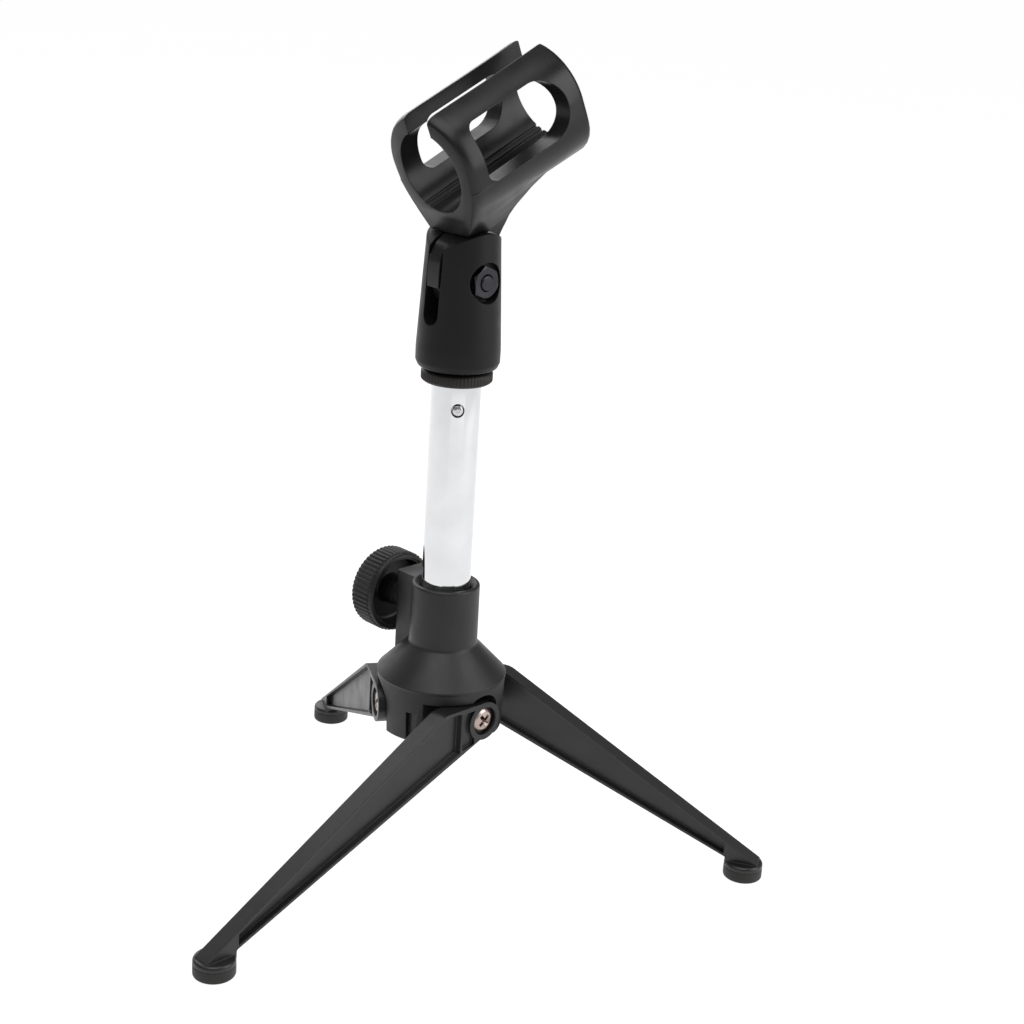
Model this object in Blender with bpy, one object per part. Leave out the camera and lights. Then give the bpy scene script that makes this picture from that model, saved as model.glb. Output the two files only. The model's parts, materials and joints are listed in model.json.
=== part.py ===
"""Desktop microphone stand: three folding legs on a moulded hub, a chromed column that slides in
the hub's clamp, and a swivelling, tilting clip for a handheld microphone.

Metres, +Z up. The origin lies on the table under the middle of the stand's bounding box.
"""

from math import atan2, cos, degrees, pi, radians, sin, sqrt, tan

import bmesh
import bpy
from mathutils import Matrix, Vector

MM = 0.001
GAP = 0.3 * MM  # clearance between pieces that touch
FINE = 48  # sides of a large round piece
SMALL = 24  # sides of a small round piece

# Legs. Each leg swings in an upright plane that passes beside the column, pinwheel fashion.
LEG_OFFSET = 18.9 * MM  # from the column's axis to the leg's middle plane
LEG_REACH = 104.4 * MM  # from the pivot to the middle of the foot, along the leg
LEG_THICK = 6.2 * MM
PIVOT_Z = 54.4 * MM
LEG_EYE_R = 6.5 * MM  # round end that carries the screw
LEG_TOP_SLOPE = 0.597
LEG_TOP_START = 71.5 * MM  # height of the sloping top edge, carried back to the pivot
LEG_BELLY_SLOPE = 0.424
LEG_BELLY_START = 48.85 * MM
WEB_DEPTH = 1.9 * MM  # how far the web lies below the leg's two faces
FLANGE = 2.0 * MM
FOOT_R = 6.55 * MM
FOOT_PLATE_Z = 4.0 * MM
FOOT_PLATE_TOP = 5.6 * MM
PEG_R = 2.6 * MM

# Hub
COLLAR_R = 11.2 * MM
COLLAR_TOP = 96.5 * MM
CONE_TOP = 75.0 * MM
RIM_R = 21.5 * MM
RIM_Z = 65.4 * MM
SKIRT_R = 20.6 * MM
HUB_BOTTOM = 47.0 * MM
SKIRT_WALL = 2.2 * MM
CORE_R = 12.4 * MM  # between here and the skirt, the underside is slightly hollow
ARCH_R = 7.3 * MM  # half width of the opening round a leg's eye
STOP_Z = PIVOT_Z + LEG_EYE_R + GAP  # ceiling that an open leg rests against
POCKET_WALL = 11.2 * MM  # from the column's axis to the wall behind a leg
RELIEF_NEAR = 5.7 * MM
RELIEF_DEEP = 18.7 * MM
RELIEF_TOP = 57.2 * MM

# Column
TUBE_R = 8.0 * MM
TUBE_WALL = 0.8 * MM
TUBE_TOP = 163.9 * MM
TUBE_BOTTOM = 53.0 * MM
BORE_R = TUBE_R + GAP
PLUG_SCREW_Z = 156.4 * MM
PLUG_SCREW_AZIMUTH = -36.0
STUD_R = 4.76 * MM  # three-eighths inch stud
STUD_TOP = 178.0 * MM

# Clamp on the hub, pointing along -X
BLOCK_REACH = 17.9 * MM
BLOCK_WIDTH = 11.4 * MM
BLOCK_LOW = 62.0 * MM
KNOB_Z = 85.6 * MM
KNOB_FACE = 21.5 * MM
KNOB_THICK = 10.2 * MM
KNOB_R = 13.9 * MM
KNOB_RIBS = 40
CLAMP_SCREW_R = 2.5 * MM

# Clip base and its threaded adapter
RING_LOW = 164.2 * MM
RING_HIGH = 168.5 * MM
RING_R = 11.4 * MM
RING_RIBS = 48
THREAD_R = 7.64 * MM  # five-eighths inch thread
BASE_LOW = RING_HIGH + GAP
BASE_R = 13.4 * MM
BASE_TOP_R = 11.6 * MM
TILT_Z = 197.4 * MM
DOME_R = 15.0 * MM
SLOT = 6.4 * MM
SLOT_LOW = 183.4 * MM
BOLT_R = 2.45 * MM
RECESS_R = 6.1 * MM
RECESS_X = 9.0 * MM
NUT_AF = 8.0 * MM

# Microphone clip, described with its barrel level and its tilt pivot at the origin
BARREL_TILT = 25.0
BARREL_AXIS = 37.2 * MM  # above the pivot
BARREL_FRONT = 0.3 * MM
BARREL_LENGTH = 50.6 * MM
BARREL_R = 17.6 * MM
BORE_HALF = 12.5 * MM  # half the bore's width at the front
BORE_TAPER = 0.7 * MM  # how much narrower each side is at the far end
BORE_FLOOR = 22.6 * MM
BORE_TOP = 49.5 * MM
BARREL_SLOT = 10.0 * MM  # gap between the two jaws
TONGUE = 5.0 * MM
TONGUE_R = 10.2 * MM
NECK_CLEAR_R = DOME_R + 0.5 * MM
WINDOW_START = 7.5 * MM
WINDOW_END = 44.5 * MM

COLUMN_X = LEG_OFFSET / 2
COLUMN_Y = (LEG_REACH / 2 - LEG_OFFSET * cos(radians(30))) / 2


# ---------------------------------------------------------------- helpers


def material(name, colour, roughness, metallic=0.0):
    made = bpy.data.materials.get(name) or bpy.data.materials.new(name)
    made.use_nodes = True
    shader = made.node_tree.nodes["Principled BSDF"]
    shader.inputs["Base Color"].default_value = (*colour, 1.0)
    shader.inputs["Roughness"].default_value = roughness
    shader.inputs["Metallic"].default_value = metallic
    made.diffuse_color = (*colour, 1.0)
    return made


def add_object(name, bm, parent=None, finish=None, move=None):
    """Puts a bmesh into the scene as one named object, its faces turned outwards."""
    if move is not None:
        bm.transform(move)
    bmesh.ops.recalc_face_normals(bm, faces=bm.faces)
    mesh = bpy.data.meshes.new(name)
    bm.to_mesh(mesh)
    bm.free()
    made = bpy.data.objects.new(name, mesh)
    bpy.context.scene.collection.objects.link(made)
    made.parent = parent
    if finish is not None:
        mesh.materials.append(finish)
        mesh.shade_smooth()
        mesh.set_sharp_from_angle(angle=radians(32))
    return made


def add_empty(name, location, rotation=(0.0, 0.0, 0.0), parent=None):
    made = bpy.data.objects.new(name, None)
    bpy.context.scene.collection.objects.link(made)
    made.location = location
    made.rotation_euler = rotation
    made.parent = parent
    return made


def turned(profile, sides, start=0.0):
    """A closed outline of (radius, height) points turned about Z. Points on the axis make a tip."""
    bm = bmesh.new()
    turns = [radians(start) + 2 * pi * i / sides for i in range(sides)]
    rings = []
    for radius, height in profile:
        on_axis = radius < 1e-9
        ring = [bm.verts.new((radius * cos(t), radius * sin(t), height)) for t in turns if not on_axis]
        rings.append(ring)
    for k, low in enumerate(rings):
        after = (k + 1) % len(rings)
        high = rings[after]
        if low and high:
            for i in range(sides):
                j = (i + 1) % sides
                bm.faces.new((low[i], low[j], high[j], high[i]))
        elif low or high:
            edge = low or high
            centre = profile[after][1] if low else profile[k][1]
            if abs(profile[k][1] - profile[after][1]) < 1e-9:
                bm.faces.new(edge)
                continue
            tip = bm.verts.new((0.0, 0.0, centre))
            for i in range(sides):
                bm.faces.new((edge[i], edge[(i + 1) % sides], tip))
    return bm


def prism(outline, low, high):
    """An outline in X and Y carried from one height to another."""
    bm = bmesh.new()
    bottom = [bm.verts.new((x, y, low)) for x, y in outline]
    top = [bm.verts.new((x, y, high)) for x, y in outline]
    bm.faces.new(bottom[::-1])
    bm.faces.new(top)
    for i in range(len(outline)):
        j = (i + 1) % len(outline)
        bm.faces.new((bottom[i], bottom[j], top[j], top[i]))
    return bm


def arc(centre, radius, start, end, steps):
    """Points on an arc, angles in degrees, both ends included."""
    angles = [radians(start + (end - start) * i / steps) for i in range(steps + 1)]
    return [(centre[0] + radius * cos(a), centre[1] + radius * sin(a)) for a in angles]


def rounded(points, radii, steps=5):
    """A polygon with each corner replaced by an arc of its own radius."""
    outline = []
    count = len(points)
    for i, corner in enumerate(points):
        here = Vector(corner)
        back = (Vector(points[i - 1]) - here).normalized()
        ahead = (Vector(points[(i + 1) % count]) - here).normalized()
        radius = radii[i]
        half = back.angle(ahead) / 2
        if radius <= 0 or half > radians(89):
            outline.append(tuple(here))
            continue
        reach = radius / tan(half)
        centre = here + (back + ahead).normalized() * (radius / sin(half))
        first = here + back * reach - centre
        last = here + ahead * reach - centre
        turn = first.angle_signed(last)
        for k in range(steps + 1):
            spot = Matrix.Rotation(-turn * k / steps, 2) @ first
            outline.append(tuple(centre + spot))
    return outline


def box(low, high):
    return prism([(low[0], low[1]), (high[0], low[1]), (high[0], high[1]), (low[0], high[1])], low[2], high[2])


def boolean(target, tool, operation):
    """Joins or cuts with another object, which stays in the scene as a hidden wire tool."""
    tool.hide_render = True
    tool.display_type = "WIRE"
    modifier = target.modifiers.new(tool.name, "BOOLEAN")
    modifier.operation = operation
    modifier.solver = "EXACT"
    modifier.object = tool


def cut(target, tool):
    boolean(target, tool, "DIFFERENCE")


def join(target, tool):
    boolean(target, tool, "UNION")


ALONG_X = Matrix.Rotation(radians(90), 4, "Y")  # turns +Z to +X
AGAINST_X = Matrix.Rotation(radians(-90), 4, "Y")  # turns +Z to -X
# An outline's x runs along -Y and its y along +Z, and its thickness runs along +X.
LEG_PLANE = Matrix(((0, 0, 1, 0), (-1, 0, 0, 0), (0, 1, 0, 0), (0, 0, 0, 1)))
# An outline's x runs along +Y and its y along +Z, and its thickness runs along +X.
SIDE_PLANE = Matrix(((0, 0, 1, 0), (1, 0, 0, 0), (0, 1, 0, 0), (0, 0, 0, 1)))


# ---------------------------------------------------------------- legs


def leg_heights(reach):
    top = min(LEG_EYE_R, LEG_TOP_START - PIVOT_Z - LEG_TOP_SLOPE * reach)
    belly = LEG_BELLY_START - PIVOT_Z - LEG_BELLY_SLOPE * reach
    return top, belly


def leg_outline():
    """The leg seen from the side, the pivot at the origin and the foot towards +x."""
    tip = LEG_REACH + 0.72 * FOOT_R
    heel = LEG_REACH - 0.86 * FOOT_R
    plate = FOOT_PLATE_Z + 1.0 * MM - PIVOT_Z
    knee = (LEG_TOP_START - PIVOT_Z - LEG_EYE_R) / LEG_TOP_SLOPE
    drop = LEG_BELLY_START - PIVOT_Z
    spread = 1 + LEG_BELLY_SLOPE**2
    meet = sqrt(spread * LEG_EYE_R**2 - drop**2) + drop * LEG_BELLY_SLOPE
    meet = meet / spread
    last = degrees(atan2(drop - LEG_BELLY_SLOPE * meet, meet)) + 360.0
    eye = arc((0.0, 0.0), LEG_EYE_R, 90.0, last, 18)
    edge = [
        eye[-1],
        (heel, leg_heights(heel)[1]),
        (heel, plate),
        (tip, plate),
        (tip, leg_heights(tip)[0]),
        (knee, LEG_EYE_R),
        eye[0],
    ]
    soft = rounded(edge, [0, 0, 0, 0, 0, 6.0 * MM, 0], 4)
    return eye[1:-1] + soft


def leg_pocket():
    """The hollow between the flanges, on one face of the leg."""
    near = 8.6 * MM
    far = LEG_REACH - 16.0 * MM
    knee = (LEG_TOP_START - PIVOT_Z - LEG_EYE_R) / LEG_TOP_SLOPE
    corners = [
        (near, LEG_EYE_R - FLANGE),
        (near, leg_heights(near)[1] + FLANGE),
        (far, leg_heights(far)[1] + 1.25 * FLANGE),
        (far, leg_heights(far)[0] - 1.25 * FLANGE),
        (knee - 0.6 * FLANGE, LEG_EYE_R - FLANGE),
    ]
    return rounded(corners, [1.5 * MM, 1.5 * MM, 0, 0, 4.0 * MM], 3)


def make_leg(index, pivot, black, rubber, nickel):
    tag = f"_{index}"
    half = LEG_THICK / 2
    leg = add_object("leg" + tag, prism(leg_outline(), -half, half), pivot, black, LEG_PLANE)
    for side, name in ((1, "outer"), (-1, "inner")):
        low, high = sorted((side * (half - WEB_DEPTH), side * (half + MM)))
        tool = add_object(f"cut_web_{name}{tag}", prism(leg_pocket(), low, high), pivot, None, LEG_PLANE)
        cut(leg, tool)
    plate = [
        (0.0, FOOT_PLATE_Z - 2.2 * MM),
        (PEG_R, FOOT_PLATE_Z - 2.2 * MM),
        (PEG_R, FOOT_PLATE_Z),
        (FOOT_R - 0.1 * MM, FOOT_PLATE_Z),
        (FOOT_R - 0.1 * MM, FOOT_PLATE_TOP - 0.5 * MM),
        (FOOT_R - 0.7 * MM, FOOT_PLATE_TOP),
        (0.0, FOOT_PLATE_TOP),
    ]
    foot_place = Matrix.Translation((0.0, -LEG_REACH, -PIVOT_Z))
    join(leg, add_object("add_foot_plate" + tag, turned(plate, 32), pivot, None, foot_place))

    seat = half - 2.1 * MM  # depth of the recess that holds the screw's head
    screw_hole = [(0.0, -half - MM), (2.1 * MM, -half - MM), (2.1 * MM, seat), (4.7 * MM, seat)]
    screw_hole += [(4.7 * MM, half + MM), (0.0, half + MM)]
    cut(leg, add_object("cut_eye" + tag, turned(screw_hole, SMALL), pivot, None, ALONG_X))

    pad = [
        (PEG_R + GAP, 1.4 * MM),
        (PEG_R + GAP, FOOT_PLATE_Z - GAP),
        (FOOT_R, FOOT_PLATE_Z - GAP),
        (FOOT_R, 0.9 * MM),
        (FOOT_R - 0.35 * MM, 0.3 * MM),
        (FOOT_R - 1.1 * MM, 0.0),
        (0.0, 0.0),
        (0.0, 1.4 * MM),
    ]
    add_object("foot_pad" + tag, turned(pad, 32), pivot, rubber, foot_place)
    make_leg_screw(tag, pivot, seat, nickel)


def make_leg_screw(tag, pivot, seat, nickel):
    """A cross-head machine screw, head outwards, on the leg's pivot axis."""
    under = seat + GAP
    inner = -LEG_OFFSET + 10.2 * MM
    shape = [
        (0.0, inner),
        (1.3 * MM, inner),
        (1.75 * MM, inner + 0.6 * MM),
        (1.75 * MM, under),
        (4.1 * MM, under),
        (4.1 * MM, under + 0.5 * MM),
        (3.3 * MM, under + 1.1 * MM),
        (1.8 * MM, under + 1.45 * MM),
        (0.0, under + 1.55 * MM),
    ]
    screw = add_object("leg_screw" + tag, turned(shape, SMALL), pivot, nickel, ALONG_X)
    deep = under + 0.6 * MM
    for number, (wide, tall) in enumerate(((1.9, 0.36), (0.36, 1.9))):
        low = (deep, -wide * MM, -tall * MM)
        high = (under + 3 * MM, wide * MM, tall * MM)
        cut(screw, add_object(f"cut_cross_{number}{tag}", box(low, high), pivot))


# ---------------------------------------------------------------- hub


def hub_shell():
    """Collar, cone and skirt turned in one piece round the column's bore."""
    inner_skirt = SKIRT_R - SKIRT_WALL
    return [
        (BORE_R + 1.1 * MM, COLLAR_TOP),
        (BORE_R, COLLAR_TOP - 1.3 * MM),
        (BORE_R, 72.0 * MM),
        (BORE_R + 1.0 * MM, 71.0 * MM),
        (BORE_R + 1.0 * MM, HUB_BOTTOM + 1.0 * MM),
        (CORE_R, HUB_BOTTOM + 1.0 * MM),
        (CORE_R + 0.5 * MM, HUB_BOTTOM + 2.0 * MM),
        (inner_skirt - 0.5 * MM, HUB_BOTTOM + 2.0 * MM),
        (inner_skirt, HUB_BOTTOM),
        (SKIRT_R - 0.3 * MM, HUB_BOTTOM),
        (SKIRT_R, HUB_BOTTOM + 0.4 * MM),
        (RIM_R - 0.15 * MM, RIM_Z - 1.1 * MM),
        (RIM_R, RIM_Z - 0.5 * MM),
        (RIM_R - 0.25 * MM, RIM_Z + 0.1 * MM),
        (COLLAR_R + 2.6 * MM, CONE_TOP - 1.9 * MM),
        (COLLAR_R + 1.0 * MM, CONE_TOP - 0.5 * MM),
        (COLLAR_R + 0.25 * MM, CONE_TOP + 1.2 * MM),
        (COLLAR_R, CONE_TOP + 3.0 * MM),
        (COLLAR_R - 0.1 * MM, COLLAR_TOP - 0.7 * MM),
        (COLLAR_R - 0.8 * MM, COLLAR_TOP),
    ]


def leg_opening():
    """The window in the skirt that a leg's eye sits in and its root swings through."""
    flat = arc((0.0, 1.4 * MM), ARCH_R, 180.0, 60.0, 8)
    side = [(-ARCH_R, HUB_BOTTOM - PIVOT_Z - MM)]
    stop = STOP_Z - PIVOT_Z
    arch = [p for p in flat if p[0] < 4.0 * MM]
    far = [(4.5 * MM, stop), (24.0 * MM, stop), (24.0 * MM, HUB_BOTTOM - PIVOT_Z - MM)]
    return side + arch + far


def make_hub(root, black):
    hub = add_object("hub_body", turned(hub_shell(), FINE, 1.9), root, black)
    for index in range(3):
        turn = Matrix.Rotation(radians(120 * index), 4, "Z") @ Matrix.Translation((0.0, 0.0, PIVOT_Z))
        window = prism(leg_opening(), POCKET_WALL, 30.0 * MM)
        cut(hub, add_object(f"cut_leg_window_{index + 1}", window, root, None, turn @ LEG_PLANE))
        low = HUB_BOTTOM - PIVOT_Z - MM
        high = RELIEF_TOP - PIVOT_Z
        side = [(RELIEF_DEEP, low), (23.0 * MM, low), (23.0 * MM, high), (RELIEF_DEEP, high)]
        relief = prism(side, RELIEF_NEAR, 14.0 * MM)
        cut(hub, add_object(f"cut_side_relief_{index + 1}", relief, root, None, turn @ LEG_PLANE))
        face = LEG_OFFSET - LEG_THICK / 2 - GAP
        pad = [(0.0, 10.5 * MM), (6.6 * MM, 10.5 * MM), (6.6 * MM, face), (0.0, face)]
        join(hub, add_object(f"add_pivot_pad_{index + 1}", turned(pad, SMALL), root, None, turn @ ALONG_X))
        hole = [(0.0, 8.0 * MM), (2.05 * MM, 8.0 * MM), (2.05 * MM, 18.0 * MM), (0.0, 18.0 * MM)]
        cut(hub, add_object(f"cut_pivot_hole_{index + 1}", turned(hole, 16), root, None, turn @ ALONG_X))
    half = BLOCK_WIDTH / 2
    outline = rounded(
        [(-BLOCK_REACH, -half), (-9.0 * MM, -half), (-9.0 * MM, half), (-BLOCK_REACH, half)],
        [1.0 * MM, 0, 0, 1.0 * MM],
        3,
    )
    join(hub, add_object("add_clamp_block", prism(outline, BLOCK_LOW + 3 * MM, COLLAR_TOP - 0.2 * MM), root))
    across = Matrix.Translation((0.0, 0.0, KNOB_Z)) @ AGAINST_X
    radius = CLAMP_SCREW_R + GAP
    hole = [(0.0, 5.0 * MM), (radius, 5.0 * MM), (radius, 20.0 * MM), (0.0, 20.0 * MM)]
    cut(hub, add_object("cut_clamp_hole", turned(hole, SMALL), root, None, across))
    pocket = prism(hexagon(GAP), 5.0 * MM, 14.6 * MM)
    cut(hub, add_object("cut_nut_pocket", pocket, root, None, across))


def make_clamp(root, turning, black, steel, brass):
    """The thumb knob with its screw, the nut it runs in and the pad that presses on the column."""
    across = Matrix.Translation((0.0, 0.0, KNOB_Z)) @ AGAINST_X
    body = ribbed_ring(KNOB_R, KNOB_R - 0.55 * MM, KNOB_RIBS, 1.0 * MM, KNOB_THICK - 1.0 * MM)
    knob = add_object("clamp_knob", body, turning, black, Matrix.Translation((-KNOB_FACE, 0, 0)) @ AGAINST_X)
    hollow = [(4.6 * MM, -MM), (11.7 * MM, -MM), (11.1 * MM, 6.4 * MM), (4.6 * MM, 6.4 * MM)]
    place = Matrix.Translation((-KNOB_FACE, 0, 0)) @ AGAINST_X
    cut(knob, add_object("cut_knob_hollow", turned(hollow, 36), turning, None, place))
    boss = [(0.0, -3.3 * MM), (4.2 * MM, -3.3 * MM), (4.9 * MM, 1.0 * MM), (4.9 * MM, 3.0 * MM), (0.0, 3.0 * MM)]
    join(knob, add_object("add_knob_boss", turned(boss, SMALL), turning, None, place))
    radius = CLAMP_SCREW_R + GAP
    socket = [(0.0, -5 * MM), (radius, -5 * MM), (radius, 5.5 * MM), (0.0, 5.5 * MM)]
    cut(knob, add_object("cut_knob_socket", turned(socket, SMALL), turning, None, place))

    tip = TUBE_R + 1.9 * MM
    stem = [(0.0, tip), (2.0 * MM, tip), (CLAMP_SCREW_R, tip + 0.5 * MM)]
    stem += [(CLAMP_SCREW_R, KNOB_FACE + 5.2 * MM), (0.0, KNOB_FACE + 5.2 * MM)]
    add_object("clamp_screw", turned(stem, SMALL), turning, steel, AGAINST_X)

    nut = add_object("clamp_nut", prism(hexagon(), 11.3 * MM, 14.3 * MM), root, brass, across)
    hole = [(0.0, 10.0 * MM), (radius, 10.0 * MM), (radius, 16.0 * MM), (0.0, 16.0 * MM)]
    cut(nut, add_object("cut_clamp_nut", turned(hole, SMALL), root, None, across))

    pad = [(0.0, TUBE_R + GAP), (3.6 * MM, TUBE_R + GAP), (3.6 * MM, TUBE_R + 1.6 * MM), (0.0, TUBE_R + 1.6 * MM)]
    add_object("clamp_pad", turned(pad, SMALL), root, brass, across)


def hexagon(extra=0.0):
    """A nut's outline, or the outline of the pocket that holds one with a clearance all round."""
    corner = (NUT_AF / 2 + extra) / cos(pi / 6)
    return [(corner * cos(radians(60 * i)), corner * sin(radians(60 * i))) for i in range(6)]


def ribbed_ring(outer, valley, ribs, edge, height):
    """A short cylinder with straight ribs round it and a plain chamfer at each end."""
    bm = bmesh.new()
    levels = [(valley - 0.9 * MM, 0.0, False), (valley, edge * 0.6, False), (outer, edge, True)]
    levels += [(outer, height, True), (valley - 0.3 * MM, height + edge, False)]
    sides = ribs * 2
    rings = []
    for radius, z, ribbed in levels:
        ring = []
        for i in range(sides):
            r = valley if ribbed and i % 2 else radius
            ring.append(bm.verts.new((r * cos(2 * pi * i / sides), r * sin(2 * pi * i / sides), z)))
        rings.append(ring)
    bm.faces.new(rings[0][::-1])
    bm.faces.new(rings[-1])
    for low, high in zip(rings, rings[1:]):
        for i in range(sides):
            j = (i + 1) % sides
            bm.faces.new((low[i], low[j], high[j], high[i]))
    return bm


# ---------------------------------------------------------------- column


def make_column(column, chrome, black, steel):
    inner = TUBE_R - TUBE_WALL
    tube_shape = [(inner, TUBE_BOTTOM), (inner, TUBE_TOP), (TUBE_R, TUBE_TOP), (TUBE_R, TUBE_BOTTOM)]
    tube = add_object("column_tube", turned(tube_shape, FINE), column, chrome)
    facing = Matrix.Translation((0.0, 0.0, PLUG_SCREW_Z)) @ Matrix.Rotation(radians(PLUG_SCREW_AZIMUTH), 4, "Z")
    hole = [(0.0, 5.5 * MM), (2.0 * MM, 5.5 * MM), (2.0 * MM, 10.0 * MM), (0.0, 10.0 * MM)]
    cut(tube, add_object("cut_tube_hole", turned(hole, SMALL), column, None, facing @ ALONG_X))

    plug_r = inner - GAP
    plug_shape = [
        (0.0, TUBE_TOP - 16.0 * MM),
        (plug_r - 0.8 * MM, TUBE_TOP - 16.0 * MM),
        (plug_r, TUBE_TOP - 15.0 * MM),
        (plug_r, TUBE_TOP),
        (STUD_R, TUBE_TOP),
        (STUD_R, STUD_TOP - 0.8 * MM),
        (STUD_R - 0.7 * MM, STUD_TOP),
        (0.0, STUD_TOP),
    ]
    plug = add_object("threaded_plug", turned(plug_shape, 36), column, steel)
    hole = [(0.0, 3.0 * MM), (1.3 * MM, 3.0 * MM), (1.3 * MM, 10.0 * MM), (0.0, 10.0 * MM)]
    cut(plug, add_object("cut_plug_hole", turned(hole, 16), column, None, facing @ ALONG_X))

    screw_shape = [
        (0.0, 3.6 * MM),
        (1.0 * MM, 3.6 * MM),
        (1.0 * MM, TUBE_R - 0.9 * MM),
        (1.65 * MM, TUBE_R - 0.45 * MM),
        (1.55 * MM, TUBE_R + 0.05 * MM),
        (0.9 * MM, TUBE_R + 0.4 * MM),
        (0.0, TUBE_R + 0.5 * MM),
    ]
    add_object("plug_screw", turned(screw_shape, 20), column, steel, facing @ ALONG_X)

    stop_shape = [
        (0.0, TUBE_BOTTOM - 2.0 * MM),
        (TUBE_R + 0.4 * MM, TUBE_BOTTOM - 2.0 * MM),
        (TUBE_R + 0.8 * MM, TUBE_BOTTOM - 1.6 * MM),
        (TUBE_R + 0.8 * MM, TUBE_BOTTOM - GAP),
        (plug_r, TUBE_BOTTOM - GAP),
        (plug_r - 0.5 * MM, TUBE_BOTTOM + 8.0 * MM),
        (0.0, TUBE_BOTTOM + 8.0 * MM),
    ]
    add_object("column_stop", turned(stop_shape, 36), column, black)


# ---------------------------------------------------------------- clip base


def make_clip_base(head, black, dark, steel):
    ring = add_object(
        "adapter_ring",
        ribbed_ring(RING_R, RING_R - 0.25 * MM, RING_RIBS, 0.5 * MM, RING_HIGH - RING_LOW - 0.5 * MM),
        head,
        dark,
        Matrix.Translation((0.0, 0.0, RING_LOW)),
    )
    thread = [(0.0, RING_HIGH - MM), (THREAD_R, RING_HIGH - MM), (THREAD_R, 178.6 * MM), (0.0, 178.6 * MM)]
    join(ring, add_object("add_adapter_thread", turned(thread, 36), head))
    bore = STUD_R + GAP
    hole = [(0.0, RING_LOW - MM), (bore, RING_LOW - MM), (bore, 180.0 * MM), (0.0, 180.0 * MM)]
    cut(ring, add_object("cut_adapter_bore", turned(hole, 36), head))

    profile = [
        (0.0, BASE_LOW),
        (BASE_R - 1.9 * MM, BASE_LOW),
        (BASE_R - 0.8 * MM, BASE_LOW + 0.6 * MM),
        (BASE_R - 0.2 * MM, BASE_LOW + 1.8 * MM),
        (BASE_R, BASE_LOW + 3.6 * MM),
        (12.97 * MM, 183.6 * MM),
        (12.3 * MM, 196.3 * MM),
        (BASE_TOP_R, 208.8 * MM),
        (BASE_TOP_R - 0.2 * MM, TILT_Z + DOME_R + MM),
        (0.0, TILT_Z + DOME_R + MM),
    ]
    base = add_object("clip_base", turned(profile, FINE, 1.9), head, black)
    lift = Matrix.Translation((0.0, 0.0, TILT_Z))
    reach = 16.0 * MM
    start = degrees(atan2(1.0 * MM, sqrt(DOME_R**2 - MM**2)))
    crown = arc((0.0, 0.0), DOME_R, 180.0 - start, start, 20)
    crown = [(-reach, MM)] + crown + [(reach, MM), (reach, 20.0 * MM), (-reach, 20.0 * MM)]
    cut(base, add_object("cut_dome", prism(crown, -reach, reach), head, None, lift @ SIDE_PLANE))
    half = SLOT / 2
    slot = arc((0.0, SLOT_LOW + half), half, 180.0, 360.0, 8)
    slot += [(half, 220.0 * MM), (-half, 220.0 * MM)]
    front = Matrix(((1, 0, 0, 0), (0, 0, 1, 0), (0, 1, 0, 0), (0, 0, 0, 1)))
    cut(base, add_object("cut_tongue_slot", prism(slot, -reach, reach), head, None, front))
    socket = THREAD_R + GAP
    hole = [(0.0, BASE_LOW - MM), (socket, BASE_LOW - MM), (socket, 180.2 * MM), (0.0, 180.2 * MM)]
    cut(base, add_object("cut_base_socket", turned(hole, 36), head))
    hole = [
        (0.0, -reach),
        (RECESS_R, -reach),
        (RECESS_R, -RECESS_X),
        (BOLT_R + GAP, -RECESS_X),
        (BOLT_R + GAP, RECESS_X),
        (RECESS_R, RECESS_X),
        (RECESS_R, reach),
        (0.0, reach),
    ]
    cut(base, add_object("cut_bolt_hole", turned(hole, 36), head, None, lift @ ALONG_X))

    bolt_shape = [
        (0.0, -RECESS_X - 2.6 * MM),
        (3.2 * MM, -RECESS_X - 2.4 * MM),
        (4.3 * MM, -RECESS_X - 1.6 * MM),
        (4.3 * MM, -RECESS_X - GAP),
        (BOLT_R, -RECESS_X - GAP),
        (BOLT_R, RECESS_X + 2.6 * MM),
        (0.0, RECESS_X + 2.9 * MM),
    ]
    bolt = add_object("tilt_bolt", turned(bolt_shape, SMALL), head, steel, lift @ ALONG_X)
    low = (-RECESS_X - 4.0 * MM, -5.0 * MM, TILT_Z - 0.5 * MM)
    high = (-RECESS_X - 1.5 * MM, 5.0 * MM, TILT_Z + 0.5 * MM)
    cut(bolt, add_object("cut_bolt_slot", box(low, high), head))
    nut_place = lift @ ALONG_X
    shape = prism(hexagon(), RECESS_X + GAP, RECESS_X + 2.3 * MM)
    nut = add_object("tilt_nut", shape, head, steel, nut_place)
    hole = [(0.0, RECESS_X), (BOLT_R + GAP, RECESS_X), (BOLT_R + GAP, 14 * MM), (0.0, 14 * MM)]
    cut(nut, add_object("cut_tilt_nut", turned(hole, SMALL), head, None, nut_place))


# ---------------------------------------------------------------- clip


def barrel_section():
    """The barrel seen from its end: round above, squarer below where the neck joins it."""
    axis = BARREL_AXIS
    corner = [(17.4, -7.6), (16.4, -11.0), (14.5, -14.0), (12.0, -16.5), (9.0, -18.2)]
    right = [(x * MM, axis + y * MM) for x, y in corner]
    left = [(-x, y) for x, y in reversed(right)]
    return arc((0.0, axis), BARREL_R, 184.0, -4.0, 28) + right + left


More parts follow.
